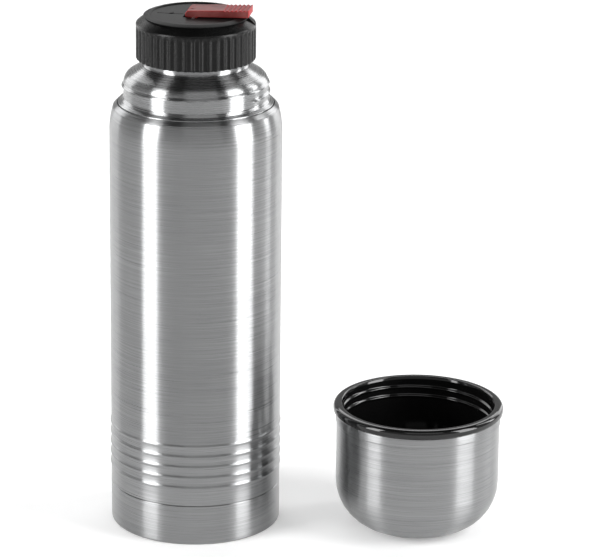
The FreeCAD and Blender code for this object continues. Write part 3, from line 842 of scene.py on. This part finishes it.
def make_camera():
    """A long lens that looks a little down on the flask and the cup."""
    data = bpy.data.cameras.new("camera")
    camera = bpy.data.objects.new("camera", data)
    bpy.context.scene.collection.objects.link(camera)
    data.lens = CAMERA_LENS
    data.sensor_width = 36
    data.clip_start = 0.1
    data.clip_end = 50
    camera.location = (CAMERA_DISTANCE * math.sin(FLASK_TURN), -CAMERA_DISTANCE * math.cos(FLASK_TURN),
                       CAMERA_HEIGHT)
    swing = FLASK_TURN - CAMERA_SWING
    turn = Matrix.Rotation(swing, 3, "Z") @ Matrix.Rotation(math.pi / 2 - CAMERA_PITCH, 3, "X")
    turn = turn @ Matrix.Rotation(CAMERA_ROLL, 3, "Z")
    camera.rotation_mode = "QUATERNION"
    camera.rotation_quaternion = turn.to_quaternion()
    bpy.context.scene.camera = camera


def make_light(name, azimuth, distance, height, width, tall, power, drop=0):
    """A softbox that faces the flask from a direction counted from the camera's, to the right."""
    data = bpy.data.lights.new(name, "AREA")
    data.shape = "RECTANGLE"
    data.size = width
    data.size_y = tall
    data.energy = power
    light = bpy.data.objects.new(name, data)
    bpy.context.scene.collection.objects.link(light)
    around = FLASK_TURN + math.radians(azimuth)
    light.location = (distance * math.sin(around), -distance * math.cos(around), height)
    aim = Vector((0, 0, height - drop)) - light.location
    light.rotation_mode = "QUATERNION"
    light.rotation_quaternion = aim.to_track_quat("-Z", "Y")


def make_lights():
    """Tall strips at both sides, faint ones behind, and soft tops."""
    make_light("strip_left", -62, 1.3, 0.70, 0.50, 1.4, 19)
    make_light("strip_right", 67, 1.3, 0.70, 0.56, 1.4, 22)
    make_light("strip_side", 109, 1.0, 0.60, 0.16, 0.8, 3)
    make_light("strip_back_left", -135, 1.6, 0.60, 0.80, 1.0, 5)
    make_light("strip_back_right", 140, 1.6, 0.60, 0.60, 1.0, 5)
    make_light("soft_back", 180, 1.9, 1.75, 2.4, 1.4, 30, drop=1.6)
    make_light("soft_front", 10, 1.9, 2.30, 2.2, 1.2, 9, drop=2.2)


WORLD_LOW = (0.35, 0.44)  # place on the ramp and grey level, low in the room
WORLD_HIGH = (0.75, 0.01)  # the same, high in the room


def make_world():
    """A room that is pale low down and nearly black above."""
    world = bpy.data.worlds.new("studio")
    world.use_nodes = True
    tree = world.node_tree
    height = tree.nodes.new("ShaderNodeSeparateXYZ")
    tree.links.new(tree.nodes.new("ShaderNodeTexCoord").outputs["Generated"], height.inputs[0])
    fade = tree.nodes.new("ShaderNodeValToRGB")
    tree.links.new(height.outputs["Z"], fade.inputs["Fac"])
    for stop, (place, level) in zip(fade.color_ramp.elements, (WORLD_LOW, WORLD_HIGH)):
        stop.position = place
        stop.color = (level, level, level, 1)
    tree.links.new(fade.outputs["Color"], tree.nodes["Background"].inputs["Color"])
    bpy.context.scene.world = world
    bpy.context.scene.view_settings.view_transform = "Standard"


# ---------------------------------------------------------------- making

CARRIED = {
    "inner_vessel": PLAIN_STEEL,
    "jacket_bottom": PLAIN_STEEL,
    "reflective_foil": FOIL,
    "getter": FOIL,
    "vacuum_seal": SEAL_GLASS,
    "lever_pin": PLAIN_STEEL,
    "stopper_plug": BLACK,
    "stem_guide": BLACK,
    "plug_insulation": FOAM,
    "mouth_gasket": SILICONE,
    "plug_seal": SILICONE,
    "valve_stem": WHITE,
    "valve_head": WHITE,
    "valve_seal": SILICONE,
    "spring_retainer": WHITE,
}


def dress_carried_nodes():
    """Give every CAD node that stays its own finish."""
    for name, material in CARRIED.items():
        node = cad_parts[name]
        node.data.materials.clear()
        node.data.materials.append(material)


make_camera()
make_lights()
make_world()
make_floor()
dress_carried_nodes()
make_outer_shell()
make_base()
make_neck()
make_grip()
make_disc()
make_lever()
make_spring()
make_cup()
make_liner()
